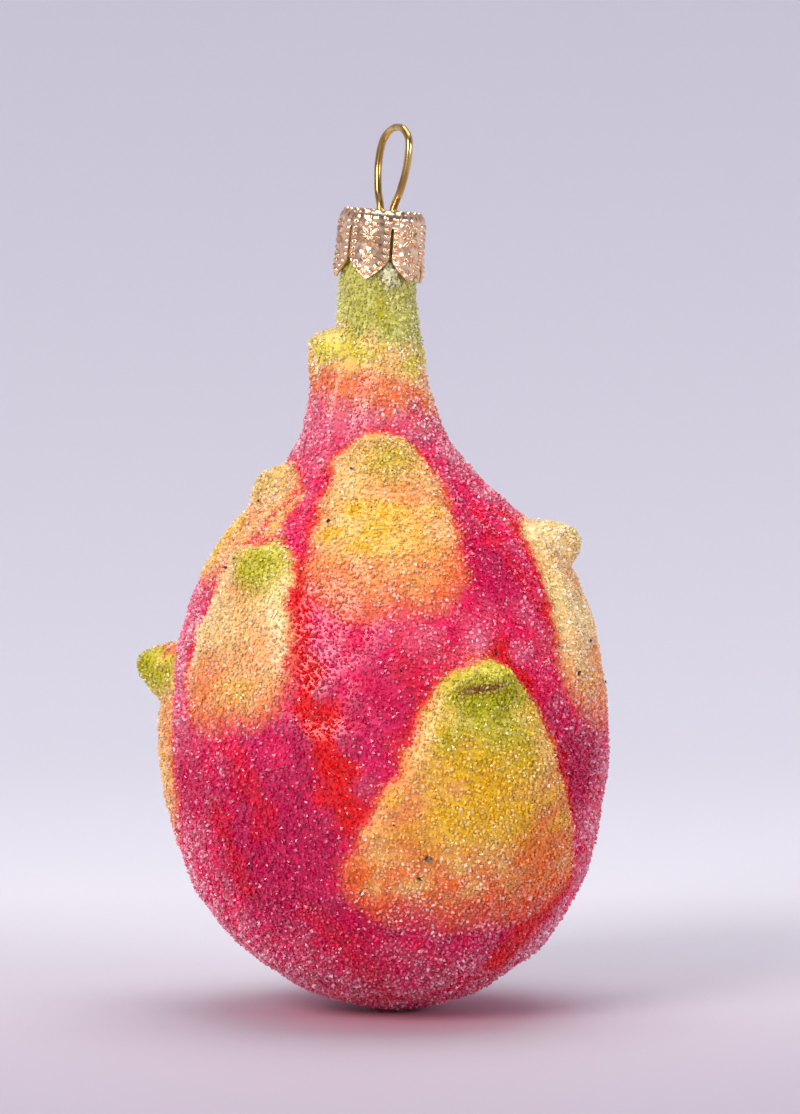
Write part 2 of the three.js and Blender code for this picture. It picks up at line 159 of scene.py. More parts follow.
# The turn and height of a middle, and how far the colour spreads from it
ORANGE_TURN, ORANGE_SPREAD, ORANGE_HEIGHT, ORANGE_RISE = 4, 42, 77.2, 1.6
LIME_TURN, LIME_SPREAD = -16, 34
# The pale place between the two bracts on the left
BRIDGE_TURN, BRIDGE_HEIGHT, BRIDGE_REACH = -57, 61.5, 5.2

# Dark specks that show from the front: turn, height, size
SPECKS = [
    (-17, 67.9, 0.36), (6, 67.8, 0.32), (-5, 63.4, 0.34), (-22, 61.8, 0.5), (-12, 64.2, 0.36),
    (-8, 57.4, 0.3), (-57, 57.6, 0.5), (-62, 55.7, 0.42), (-49, 57.2, 0.3), (-76, 63.6, 0.36),
    (11, 21.6, 0.8), (9, 19.1, 0.62), (2, 25.8, 0.36), (21, 32.4, 0.34), (24, 15.2, 0.4), (4, 44.2, 0.4),
    (31, 46, 0.42), (60, 43, 0.5), (-25, 30, 0.34), (-40, 20, 0.3),
]
SPECK_GROWTH, OTHER_SPECKS = 1.25, 46

# How many crystals are laid out, and their least and greatest sizes
COAT_COUNT, KNOB_COUNT, BRIGHT_COUNT, HEAP_COUNT = 62000, 330, 10000, 150
COAT_SIZES, BRIGHT_SIZES, HEAP_SIZES, SPECK_SIZES = (0.42, 0.68), (0.36, 0.6), (0.45, 0.7), (0.26, 0.46)
HEAP_TURN, HEAP_HEIGHT, HEAP_SPREAD = 17, 91.6, 0.55
COAT_PIECES = 4

rng = np.random.default_rng(SEED)


def smooth(x):
    """From 0 to 1, with a soft start and end."""
    t = np.clip(x, 0, 1)
    return t * t * (3 - 2 * t)


def mix(a, b, share):
    """From a to b, by a share."""
    return a + (b - a) * share


def linear(color):
    """A colour out of 255 as the light's own amounts."""
    c = np.array(color, float) / 255
    return np.where(c <= 0.04045, c / 12.92, ((c + 0.055) / 1.055) ** 2.4)


def spline(points, steps):
    """A smooth curve through points, evenly stepped from point to point."""
    p = np.array(points, float)
    padded = np.vstack([p[:1], p, p[-1:]])
    t = np.linspace(0, len(p) - 1, steps)
    i = np.minimum(t.astype(int), len(p) - 2)
    w = (t - i)[:, None]
    p0, p1, p2, p3 = (padded[i + k] for k in range(4))
    v0 = (p2 - p0) / 2
    v1 = (p3 - p1) / 2
    return (2 * p1 - 2 * p2 + v0 + v1) * w**3 + (-3 * p1 + 3 * p2 - 2 * v0 - v1) * w**2 + v0 * w + p1


side = spline(SIDE, 6000)
side_along = np.concatenate([[0], np.cumsum(np.hypot(*np.diff(side, axis=0).T))])
SIDE_LENGTH = side_along[-1]


def side_at(share):
    """Radius and height at a share of the side's length."""
    along = np.clip(share, 0, 1) * SIDE_LENGTH
    return np.interp(along, side_along, side[:, 0]), np.interp(along, side_along, side[:, 1])


def share_at_height(height):
    """The share of the side's length at a height."""
    return np.interp(height, side[:, 1], side_along) / SIDE_LENGTH


def on_bulb(place):
    """Places in the frame, as seen from the bulb's lowest point."""
    return place - BULB_FOOT


def sideways(angle, middle, radius):
    """Distances round the bulb from a middle turn, in radians."""
    away = angle - middle
    return np.arctan2(np.sin(away), np.cos(away)) * radius


def lean_at(height):
    """How far to the right the bulb's axis runs at a height."""
    neck = NECK_LEAN * smooth((height - LEAN_FROM) / (LEAN_TO - LEAN_FROM))
    bend = math.tan(math.radians(CAP_TILT)) * np.clip(height - NECK_BEND, 0, CAP_TOP - NECK_BEND)
    return TIP_LEAN * np.maximum(0, 1 - height / TIP_LEAN_TO) - neck + bend


class Ripple:
    """A smooth, seeded, wandering value between about -1 and 1 at every place."""

    def __init__(self, size, waves=14):
        turn = rng.normal(size=(waves, 3))
        turn /= np.linalg.norm(turn, axis=1)[:, None]
        self.turn = turn * (2 * math.pi / size) * rng.uniform(0.6, 1.5, (waves, 1))
        self.start = rng.uniform(0, 2 * math.pi, waves)

    def __call__(self, place):
        return np.sin(place @ self.turn.T + self.start).sum(1) / math.sqrt(len(self.start)) * 0.9


wide, middling, fine, finest = Ripple(34), Ripple(13), Ripple(5), Ripple(2.2)


def bract_place(bract, share, angle, radius):
    """Distances on the skin from a bract's tip, downwards, and from its middle, sideways."""
    turn, tip = bract[:2]
    down = (share_at_height(tip) - share) * SIDE_LENGTH
    return down, sideways(angle, math.radians(turn), radius)


def half_width(bract, down):
    """Half a bract's width, round at both ends, and wider downwards between."""
    share = np.clip(down / bract[2], 0, 1)
    from_top = np.clip(1 - down / TIP_ROUND, 0, 1)
    past_widest = np.maximum(0, (share - WIDEST_SHARE) / (1 - WIDEST_SHARE))
    straight = mix(TIP_HALF_WIDTH, bract[3], np.minimum(1, share / WIDEST_SHARE))
    return straight * np.sqrt((1 - from_top**2) * (1 - past_widest**2))


def lift(share, angle, radius):
    """How far the bracts raise the skin."""
    total = np.zeros_like(share)
    for bract in BRACTS:
        length, rise, knob_rise, lip = bract[2], bract[4], bract[5], bract[9]
        down, aside = bract_place(bract, share, angle, radius)
        half = half_width(bract, np.maximum(down, TIP_LEAST))
        begun = smooth((down + BLADE_ABOVE) / BLADE_RISE_LENGTH)
        inside = begun * smooth((half - np.abs(aside)) / BLADE_EDGE)
        blade = rise * inside * (1 - smooth((down / length - FADE_FROM_SHARE) / (1 - FADE_FROM_SHARE)))
        below = down - KNOB_ABOVE
        reach = np.where(below < 0, KNOB_ABOVE, KNOB_BELOW)
        room = np.maximum(0, 1 - (aside / KNOB_HALF_WIDTH) ** 2 - (below / reach) ** 2)
        knob = knob_rise * room ** mix(KNOB_ROUND, KNOB_SLOPE, smooth((below + 1) / 3))
        hollow = lip * np.exp(-(((down - 4.4) / 1.3) ** 2) - (aside / 3.4) ** 2)
        here = (down > -1) & (down < length)
        total = np.maximum(total, np.where(here, blade + knob - hollow, 0))
    return total


def skin(share, angle, inset=0.0):
    """Places on the bulb, in millimetres in the frame."""
    radius, height = side_at(share)
    radius = radius + lift(share, angle, radius)
    x = lean_at(height) + radius * np.sin(angle)
    y = -radius * np.cos(angle)
    place = np.stack([x, y, height], -1)
    rough = 0.1 * fine(place) + 0.16 * middling(place)
    rough = rough * smooth((share - 0.005) / 0.05) * smooth((93 - height) / 4)
    out = outward(share, angle)
    place = place + out * (rough - inset)[:, None]
    return place + BULB_FOOT


def outward(share, angle, bracts=False):
    """The direction that points away from the skin, with or without the bracts' own slopes."""
    step = 0.15 / SIDE_LENGTH

    def bare(s, a):
        radius, height = side_at(s)
        if bracts:
            radius = radius + lift(s, a, radius)
        return np.stack([lean_at(height) + radius * np.sin(a), -radius * np.cos(a), height], -1)

    share = np.clip(share, step, 1 - step)
    up = bare(share + step, angle) - bare(share - step, angle)
    turn = 0.15 / np.maximum(side_at(share)[0], 0.15)
    round_ = bare(share, angle + turn) - bare(share, angle - turn)
    out = np.cross(round_, up)
    return out / np.linalg.norm(out, axis=1)[:, None]


def deepness(share, angle, place):
    """How deep and clear the colour is at places on the skin, from 0 to 1."""
    radius, height = side_at(share)
    local = on_bulb(place)
    wander = 0.16 * middling(local) + 0.12 * fine(local) + 0.06 * finest(local)
    deep = np.zeros_like(height)
    for turn, middle_height, reach in DEEP_PATCHES:
        aside = sideways(angle, math.radians(turn), radius)
        near = 1.35 - np.hypot(aside, height - middle_height) / reach
        deep = np.maximum(deep, smooth(near + wander))
    return deep


def streaked(share, angle, place):
    """How red the streaks make places on the skin."""
    radius, height = side_at(share)
    local = on_bulb(place)
    wander = 0.8 * fine(local) + 0.4 * finest(local)
    amount = np.zeros_like(height)
    for turn_a, height_a, turn_b, height_b, half, strength in STREAKS:
        t = np.clip((height_a - height) / (height_a - height_b), 0, 1)
        middle = np.radians(mix(turn_a, turn_b, t))
        aside = sideways(angle, middle, radius)
        past = np.maximum(0, np.maximum(height - height_a, height_b - height))
        distance = np.hypot(aside, past) + wander
        amount = np.maximum(amount, strength * smooth(1.5 - distance / half))
    return amount


def lacquer(share, angle, place):
    """The colour of the glass at places on the skin."""
    radius, height = side_at(share)
    color = {name: linear(value) for name, value in PALETTE.items()}
    local = on_bulb(place)
    big, medium, small, tiny = wide(local), middling(local), fine(local), finest(local)

    def over(under, name, amount):
        return under + (color[name] - under) * np.clip(amount, 0, 1)[:, None]

    shade = np.repeat(color["pink"][None], len(share), 0)
    shade = over(shade, "rose", 0.28 + 0.4 * medium + 0.25 * small)
    deep = deepness(share, angle, place)
    shade = over(shade, "magenta", 0.6 * smooth((big + 0.5 * small) * 1.2 + 0.1) + 0.6 * deep)
    shade = over(shade, "red", 0.5 * smooth((medium - big - 0.75) * 1.5 + 0.4 * small))
    # Paler pink near the neck and the bottom, and paler at the left and right sides as a painted sheen of
    # grazing light
    blush = 0.5 * smooth((height - 62) / 9) + 0.45 * smooth((np.abs(np.sin(angle)) - 0.72) / 0.3)
    blush = blush + 0.4 * smooth((17 - height) / 14) - 0.3 * big
    shade = over(shade, "blush", np.clip(blush + 0.3 * small, 0, 0.75) * (1 - 0.8 * deep))
    shade = over(shade, "red", streaked(share, angle, place))

    # Bands of colour round the neck, a little higher on the left
    level = height + 1.3 * np.sin(angle) + 0.9 * small + 0.5 * tiny
    spot = np.exp(-((np.degrees(angle) - ORANGE_TURN) / ORANGE_SPREAD) ** 2)
    glow = (0.25 + 0.65 * spot) * np.exp(-((level - ORANGE_HEIGHT) / ORANGE_RISE) ** 2)
    front = np.exp(-((np.degrees(angle) - LIME_TURN) / LIME_SPREAD) ** 2)
    sprayed = {
        "pale_lime": smooth(0.6 + 0.5 * small),
        "lime": 0.1 + 1.1 * front + 0.3 * middling(local + 20),
    }
    for name, begins, span, strength in NECK_BANDS:
        if name == "cream":
            shade = over(shade, "orange", glow * smooth(0.65 + 0.5 * small + 0.3 * tiny))
        shade = over(shade, name, strength * smooth((level - begins) / span) * sprayed.get(name, 1))

    away = np.hypot(sideways(angle, math.radians(BRIDGE_TURN), radius), height - BRIDGE_HEIGHT)
    shade = over(shade, "cream", 0.9 * smooth((BRIDGE_REACH - away + 0.5 * small + 0.4 * tiny) / 2.2))

    for bract in BRACTS:
        length, green, depth, reach, lip, pale, wider = bract[2], *bract[6:12]
        if reach == 0:
            continue
        down, aside = bract_place(bract, share, angle, radius)
        t = down / length
        half = half_width(bract, np.clip(down * 0.93 / reach, TIP_LEAST, length)) + wider
        edge = half - np.abs(aside) + 0.45 * small + 0.35 * tiny
        top = down + 0.4 * small
        here = smooth((down + 1.6) / 1.2) * smooth((length * max(1.02, reach + 0.06) - down) / 1.5)
        soft = mix(0.9, 5, smooth((t - 0.4) / 0.45))
        bottom = 1 - smooth((t - reach + 0.1 + 0.05 * medium) / 0.16)
        body = smooth((edge + 0.2) / soft) * smooth((top + 0.5) / 0.9) * here * bottom
        upper = here * (1 - smooth((t - 0.5) / 0.3))
        shade = over(shade, "red", 0.6 * smooth((edge + 1.5) / 1.2) * smooth((top + 1.7) / 1.2) * upper)
        brim = smooth((edge + 0.8) / (0.6 * soft + 0.3)) * smooth((top + 1.1) / 0.9) * here * bottom
        shade = over(shade, "coral", 0.9 * brim)
        inner = over(np.repeat(color["peach"][None], len(share), 0), "cream", 0.55 + 0.5 * medium)
        low = smooth((t - 0.48 * reach - 0.06) / (0.3 * reach))
        inner = over(inner, "orange", low * (0.62 + 0.35 * small + 0.2 * tiny))
        inner = over(inner, "coral", 0.6 * smooth((t - 0.78 * reach) / (0.2 * reach)))
        inner = over(inner, "pale_cream", pale * (0.75 + 0.3 * medium) * (1 - 0.65 * low))
        heart = smooth(1.15 - np.abs(aside) / ((0.66 + 0.25 * lip) * half + 0.1) + 0.3 * small)
        heart = heart * smooth((t - 0.04 - 0.8 * pale) / 0.12)
        heart = heart * (1 - smooth((t - 0.36 - 0.12 * depth - 0.4 * pale) / 0.24)) * min(1, 1.35 - pale)
        inner = over(inner, "yellow", heart * (0.5 + 0.45 * depth + 0.3 * medium))
        inner = over(inner, "deep_yellow", heart * smooth(depth * 1.5 - 0.3 + 0.4 * small + 0.3 * medium))
        rim = smooth((1.5 - edge) / 1.3) * (1 - 0.5 * smooth((3 - down) / 3))
        inner = over(inner, "orange", 0.8 * rim * (1 - 0.7 * pale))
        leaf_reach = 3.4 + 2.4 * lip
        to_right = (aside - 3.2 * pale) / (3.7 - 1.3 * pale + 2.2 * lip)
        leaf = np.exp(-(((down - 3.2 - 2.2 * lip) / leaf_reach) ** 2) - to_right**2)
        inner = over(inner, "pale_lime", 1.4 * green * leaf)
        inner = over(inner, "lime", 1.25 * green**2 * leaf * smooth(0.9 + 0.6 * small + 0.5 * tiny))
        stain = green * lip * smooth((0.46 - t) / 0.2) * heart
        inner = over(inner, "lime", 1.1 * stain * smooth(0.4 + 0.7 * medium + 0.6 * small))
        # Painted shade: an olive darkening in the crease just under a folded lip
        below_fold = (down - 0.7 - 5 * lip + 0.16 * aside) / 0.55
        painted_crease_shade = np.exp(-(below_fold**2) - ((aside + 1) / 2.8) ** 4)
        inner = over(inner, "olive", 1.2 * painted_crease_shade * smooth(lip * 3))
        shade = shade + (inner - shade) * np.clip(body, 0, 1)[:, None]
    return shade


def mesh_object(name, corners, faces, tint=None, flat=False, cells=None):
    """A piece from corners in millimetres and faces with three or four corners each."""
    faces = np.asarray(faces)
    sides = faces.shape[1]
    mesh = bpy.data.meshes.new(name)
    mesh.vertices.add(len(corners))
    mesh.vertices.foreach_set("co", (np.asarray(corners, np.float64) * MM).astype(np.float32).ravel())
    mesh.loops.add(faces.size)
    mesh.loops.foreach_set("vertex_index", faces.ravel().astype(np.int32))
    mesh.polygons.add(len(faces))
    mesh.polygons.foreach_set("loop_start", np.arange(0, faces.size, sides, dtype=np.int32))
    mesh.update(calc_edges=True)
    mesh.validate()
    if flat:
        mesh.shade_flat()
    else:
        mesh.shade_smooth()
    if tint is not None:
        layer = mesh.color_attributes.new("Tint", "FLOAT_COLOR", "POINT")
        values = np.ones((len(corners), 4), np.float32)
        values[:, :3] = tint
        layer.data.foreach_set("color", values.ravel())
    if cells is not None:
        layer = mesh.uv_layers.new(name="OFBake")
        layer.data.foreach_set("uv", cells.astype(np.float32).ravel())
    piece = bpy.data.objects.new(name, mesh)
    bpy.context.collection.objects.link(piece)
    return piece


def grid_faces(rows, columns, closed=True, inward=False):
    """Two triangles for each cell of a grid of corners, whose columns may close into a ring."""
    cells = columns if closed else columns - 1
    r, c = (grid.ravel() for grid in np.meshgrid(np.arange(rows - 1), np.arange(cells), indexing="ij"))
    n = (c + 1) % columns
    a, b, d, e = r * columns + c, r * columns + n, (r + 1) * columns + n, (r + 1) * columns + c
    if inward:
        b, e = e, b
    return np.vstack([np.stack([a, b, d], -1), np.stack([a, d, e], -1)])


def glass_skin():
    """The blown bulb: lacquered outside, open neck, and a smooth inside."""
    rows, columns, inside_rows = 250, 240, 30
    share = (np.arange(rows) + 1) / rows
    angle = np.arange(columns) / columns * 2 * math.pi
    s, a = (grid.ravel() for grid in np.meshgrid(share, angle, indexing="ij"))
    outer = skin(s, a, COAT_DEPTH)
    tint = lacquer(s, a, outer)
    lower = np.linspace(1, 0.02, inside_rows)
    s_in, a_in = (grid.ravel() for grid in np.meshgrid(lower, angle, indexing="ij"))
    radius, height = side_at(s_in)
    step = 0.001
    ahead, ahead_height = side_at(s_in + step)
    behind, behind_height = side_at(s_in - step)
    run = np.hypot(ahead - behind, ahead_height - behind_height)
    inset = GLASS_WALL + COAT_DEPTH
    radius_in = radius - inset * (ahead_height - behind_height) / run
    height_in = height + inset * (ahead - behind) / run
    inner = np.stack([
        AXIS_X + lean_at(height_in) + radius_in * np.sin(a_in),
        -radius_in * np.cos(a_in),
        TIP_Z + height_in,
    ], -1)
    first = skin(np.array([0.0]), np.array([0.0]), COAT_DEPTH)
    last = np.array([[AXIS_X + TIP_LEAN, 0, TIP_Z + inset]])
    corners = np.vstack([outer, inner, first, last])
    total = rows + inside_rows
    column = np.arange(columns)
    after = (column + 1) % columns
    pole = len(corners) - 2
    fan = np.stack([np.full(columns, pole), after, column], -1)
    base = (total - 1) * columns
    end_fan = np.stack([base + column, base + after, np.full(columns, pole + 1)], -1)
    triangles = np.vstack([grid_faces(total, columns), fan, end_fan])
    colors = np.vstack([tint, np.repeat(linear(FROST)[None], len(inner) + 2, 0)])
    return mesh_object("glass_skin", corners, triangles, colors)


# A crystal before it is squeezed, turned and chipped: six corners, eight faces
CHIP = np.array([[1, 0, 0], [-1, 0, 0], [0, 1, 0], [0, -1, 0], [0, 0, 1], [0, 0, -1]], float)
CHIP_FACES = np.array([
    [0, 2, 4], [2, 1, 4], [1, 3, 4], [3, 0, 4], [2, 0, 5], [1, 2, 5], [3, 1, 5], [0, 3, 5],
])


def turned(count):
    """Random turns, one matrix for each crystal."""
    q = rng.normal(size=(count, 4))
    w, x, y, z = (q / np.linalg.norm(q, axis=1)[:, None]).T
    return np.stack([
        np.stack([1 - 2 * (y * y + z * z), 2 * (x * y - w * z), 2 * (x * z + w * y)], -1),
        np.stack([2 * (x * y + w * z), 1 - 2 * (x * x + z * z), 2 * (y * z - w * x)], -1),
        np.stack([2 * (x * z - w * y), 2 * (y * z + w * x), 1 - 2 * (x * x + y * y)], -1),
    ], 1)


def crystals(name, middles, sizes, colors):
    """One piece of many crystals, each with a small cell of the map to itself."""
    count = len(middles)
    form = CHIP[None] * rng.uniform(0.62, 1.12, (count, 1, 3)) + rng.normal(0, 0.16, (count, 6, 3))
    form = np.einsum("nij,nkj->nki", turned(count), form) * (sizes / 2)[:, None, None]
    corners = (form + middles[:, None]).reshape(-1, 3)
    faces = (CHIP_FACES[None] + 6 * np.arange(count)[:, None, None]).reshape(-1, 3)
    across = math.ceil(math.sqrt(count))
    cell = np.stack([np.arange(count) % across, np.arange(count) // across], -1)[:, None] + 0.5
    spot = np.array([[-0.4, -0.4], [0.4, -0.4], [0, 0.4]])[None]
    cells = np.repeat(((cell + spot) / across)[:, None], 8, 1).reshape(-1, 2)
    return mesh_object(name, corners, faces, np.repeat(colors, 6, 0), flat=True, cells=cells)


def frosted(tint, shares, dimmest=0.72):
    """The lacquer's colour as it shows through clear crystals, least frosted where it is lime."""
    pale = mix(linear(FROST), np.maximum(tint, 0) ** 0.3, 0.45)
    limeness = smooth((tint[:, 1] / np.maximum(tint[:, 0], 0.01) - 0.72) / 0.15)
    light = mix(tint, pale, (shares * (1 - 0.55 * limeness))[:, None])
    return light * rng.uniform(dimmest, 1.16, (len(tint), 1))


def scattered(count):
    """Even places all over the skin, a little out of line."""
    ring = side[:, 0]
    area = np.concatenate([[0], np.cumsum((ring[1:] + ring[:-1]) / 2 * np.diff(side_along))])
    spots = (np.arange(count) + 0.5) / count * area[-1]
    share = np.interp(spots, area, side_along) / SIDE_LENGTH
    angle = np.arange(count) * math.pi * (3 - math.sqrt(5))
    share = share + rng.normal(0, 0.13, count) / SIDE_LENGTH
    angle = angle + rng.normal(0, 0.13, count) / np.maximum(side_at(share)[0], 1)
    return np.clip(share, 0, 1), angle


def on_knobs(each):
    """More places on the knobs, whose skin is stretched."""
    shares, angles = [], []
    for bract in BRACTS:
        down = KNOB_ABOVE + rng.uniform(-KNOB_ABOVE, KNOB_BELOW * 0.75, each)
        aside = rng.uniform(-1, 1, each) * KNOB_HALF_WIDTH
        share = share_at_height(bract[1]) - down / SIDE_LENGTH
        shares.append(share)
        angles.append(math.radians(bract[0]) + aside / side_at(share)[0])
    return np.concatenate(shares), np.concatenate(angles)


def frost_left(share, angle, place, cleared):
    """What streaks and deep patches leave of the frost."""
    return (1 - 0.85 * streaked(share, angle, place)) * (1 - cleared * deepness(share, angle, place))


def coat():
    """The crystals, in pieces of a size that stays easy to handle."""
    pieces = []
    share, angle = scattered(COAT_COUNT)
    more_share, more_angle = on_knobs(KNOB_COUNT)
    share = np.concatenate([share, more_share])
    angle = np.concatenate([angle, more_angle])
    keep = side_at(share)[1] < COATED_TO
    share, angle = share[keep], angle[keep]
    place = skin(share, angle)
    tint = lacquer(share, angle, place)
    count = len(share)
    height = side_at(share)[1]
    size = rng.uniform(*COAT_SIZES, count) * np.where(height > 91, 0.7, 1)
    sunk = rng.uniform(-0.05, 0.2, count)
    middles = place - outward(share, angle, bracts=True) * sunk[:, None]
    local = on_bulb(place)
    patches = 0.5 + 0.5 * np.clip(middling(local) * 0.6 + fine(local) * 0.5, -1, 1)
    # More frost near the bottom and the neck, and paler crystals at the left and right sides as a painted
    # sheen of grazing light
    frost_and_edge_sheen = 1.5 * smooth((np.abs(np.sin(angle)) - 0.7) / 0.3) + smooth((24 - height) / 20)
    frost_and_edge_sheen = frost_and_edge_sheen + 0.7 * smooth((height - 64) / 10)
    shares = rng.beta(0.6, 4.2, count) * (0.2 + 1.2 * patches + 1.05 * frost_and_edge_sheen)
    shares = shares * frost_left(share, angle, place, 0.8)
    colors = frosted(tint, np.clip(shares, 0, 0.8))
    order = np.argsort(height)
    for number, part in enumerate(np.array_split(order, COAT_PIECES)):
        pieces.append(crystals(f"crystals_{number + 1}", middles[part], size[part], colors[part]))

    # Brighter grains on top, heaped in places
    share, angle = scattered(BRIGHT_COUNT)
    angle = angle + 1.7
    heaped = 0.5 + 0.5 * np.clip(middling(on_bulb(skin(share, angle))), -1, 1)
    keep = (side_at(share)[1] < 92) & (rng.random(len(share)) < 0.25 + 0.85 * heaped)
    share, angle = share[keep], angle[keep]
    place = skin(share, angle)
    tint = lacquer(share, angle, place)
    middles = place + outward(share, angle, bracts=True) * rng.uniform(0.05, 0.2, len(share))[:, None]
    shares = 0.95 * rng.beta(1, 2, len(share)) * frost_left(share, angle, place, 0.4)
    colors = frosted(tint, shares, 0.92)
    sizes = rng.uniform(*BRIGHT_SIZES, len(share))
    pieces.append(crystals("crystals_bright", middles, sizes, colors))
    pieces.append(clump())
    pieces.append(specks())
    return pieces


def clump():
    """A small heap of pale crystals on the neck, just under the cap."""
    away = rng.normal(0, HEAP_SPREAD, (HEAP_COUNT, 2))
    share = share_at_height(HEAP_HEIGHT) + away[:, 0] * 1.25 / SIDE_LENGTH
    angle = math.radians(HEAP_TURN) + away[:, 1] / NECK_RADIUS
    pile = rng.uniform(0.1, 1, HEAP_COUNT) * np.exp(-(away**2).sum(1) / 0.9)
    place = skin(share, angle)
    colors = mix(linear(PALE_GREEN), linear(FROST), rng.uniform(0, 0.8, (HEAP_COUNT, 1)))
    middles = place + outward(share, angle) * pile[:, None]
    return crystals("crystal_clump", middles, rng.uniform(*HEAP_SIZES, HEAP_COUNT), colors)


def specks():
    """Dark specks in the coat: a few at set places, as turn and height, and some anywhere."""
    known = np.radians([spot[0] for spot in SPECKS])
    turn = np.concatenate([known, rng.uniform(0, 2 * math.pi, OTHER_SPECKS)])
    height = np.concatenate([[spot[1] for spot in SPECKS], rng.uniform(6, 84, OTHER_SPECKS)])
    known = [SPECK_GROWTH * spot[2] for spot in SPECKS]
    size = np.concatenate([known, rng.uniform(*SPECK_SIZES, OTHER_SPECKS)])
    share = share_at_height(height)
    middles = skin(share, turn) + outward(share, turn, bracts=True) * 0.3
    colors = np.repeat(linear(SOOT)[None], len(turn), 0)
    return crystals("dark_specks", middles, size, colors)


def new_material(name):
    """A material with its nodes, their links and its shader."""
    material = bpy.data.materials.new(name)
    material.use_nodes = True
    nodes = material.node_tree.nodes
    return material, nodes, material.node_tree.links, nodes["Principled BSDF"]


def bumpy(nodes, links, shader, height, strength, distance):
    """Small bumps on a shader, from a node's output."""
    bump = nodes.new("ShaderNodeBump")
    bump.inputs["Strength"].default_value = strength
    bump.inputs["Distance"].default_value = distance
    links.new(height, bump.inputs["Height"])
    links.new(bump.outputs["Normal"], shader.inputs["Normal"])


def tinted(name, roughness, tint_gain, sheen):
    """Glass in the colours of the mesh, with a fine variation of tone."""
    material, nodes, links, shader = new_material(name)
    attribute = nodes.new("ShaderNodeAttribute")
    attribute.attribute_name = "Tint"
    coordinate = nodes.new("ShaderNodeTexCoord")
    noise = nodes.new("ShaderNodeTexNoise")
    noise.inputs["Scale"].default_value = 1400
    noise.inputs["Detail"].default_value = 3
    links.new(coordinate.outputs["Object"], noise.inputs["Vector"])
    ramp = nodes.new("ShaderNodeValToRGB")
    ramp.color_ramp.elements[0].position = 0.3
    ramp.color_ramp.elements[0].color = (1 - tint_gain, 1 - tint_gain, 1 - tint_gain, 1)
    ramp.color_ramp.elements[1].position = 0.7
    ramp.color_ramp.elements[1].color = (1 + tint_gain, 1 + tint_gain, 1 + tint_gain, 1)
    links.new(noise.outputs["Fac"], ramp.inputs["Fac"])
    blend = nodes.new("ShaderNodeMix")
    blend.data_type = "RGBA"
    blend.blend_type = "MULTIPLY"
    blend.inputs["Factor"].default_value = 1
    links.new(attribute.outputs["Color"], blend.inputs["A"])
    links.new(ramp.outputs["Color"], blend.inputs["B"])
    links.new(blend.outputs["Result"], shader.inputs["Base Color"])
    bumpy(nodes, links, shader, noise.outputs["Fac"], 0.35, 0.0001)
    shader.inputs["Roughness"].default_value = roughness
    shader.inputs["IOR"].default_value = 1.5
    shader.inputs["Coat Weight"].default_value = 0.12
    shader.inputs["Coat Roughness"].default_value = 0.08
    shader.inputs["Sheen Weight"].default_value = sheen
    shader.inputs["Sheen Roughness"].default_value = 0.35
    shader.inputs["Sheen Tint"].default_value = (1, 0.93, 0.96, 1)
    return material


PETAL_COLUMNS = 50
FULL_HALF = math.pi / PETALS * CAP_RADIUS
BEAD_RADIUS, BEAD_RISE, BEAD_SPACING, DENT_DEPTH = 0.3, 0.3, 0.83, 0.055
STAR_DEPTH, STAR_RAYS, STAR_RAY_LENGTH, STAR_RISE = 3.5, 8, 1.45, 0.28
TOP_ROWS, SHOULDER_ROWS, WALL_ROWS = 9, 12, 92


def cap_radius_at(depth):
    """The cap's radius at a depth below its top, with its round shoulder and slight flare."""
    rest = np.maximum(0, CAP_SHOULDER - depth)
    shoulder = CAP_SHOULDER - np.sqrt(np.maximum(0, CAP_SHOULDER**2 - rest**2))
    flare = CAP_FLARE * np.clip((depth - CAP_FLARE_FROM) / (CAP_LENGTH - CAP_FLARE_FROM), 0, 1)
    return CAP_RADIUS - shoulder + flare


def petal_half(depth):
    """Half a petal's width, round the cap, at depths below its top."""
    slit = SLIT_HALF_WIDTH * smooth((depth - SLIT_FROM) / 0.25)
    point = np.clip((depth - SLIT_TO) / (CAP_LENGTH - SLIT_TO), 0, 1)
    return np.where(depth < SLIT_TO, FULL_HALF - slit, (FULL_HALF - SLIT_HALF_WIDTH) * (1 - point**1.6))


def petal_beads():
    """Places of the beads pressed into a petal: round the cap from its middle, and down."""
    places = [(x * 0.55, 6.1 + y * 0.6) for x, y in ((-1, 0), (1, 0), (0, -1), (0, 1))]
    places += [(hand * 0.62, 2.05) for hand in (-1, 1)] + [(0, 1.75)]
    for hand in (-1, 1):
        for depth in np.arange(1.75, SLIT_TO + 0.3, BEAD_SPACING):
            places.append((hand * (FULL_HALF - 0.6), depth))
        for across, depth in ((1.72, 6.75), (1.12, 7.35), (0.42, 7.95)):
            places.append((hand * across, depth))
    return places


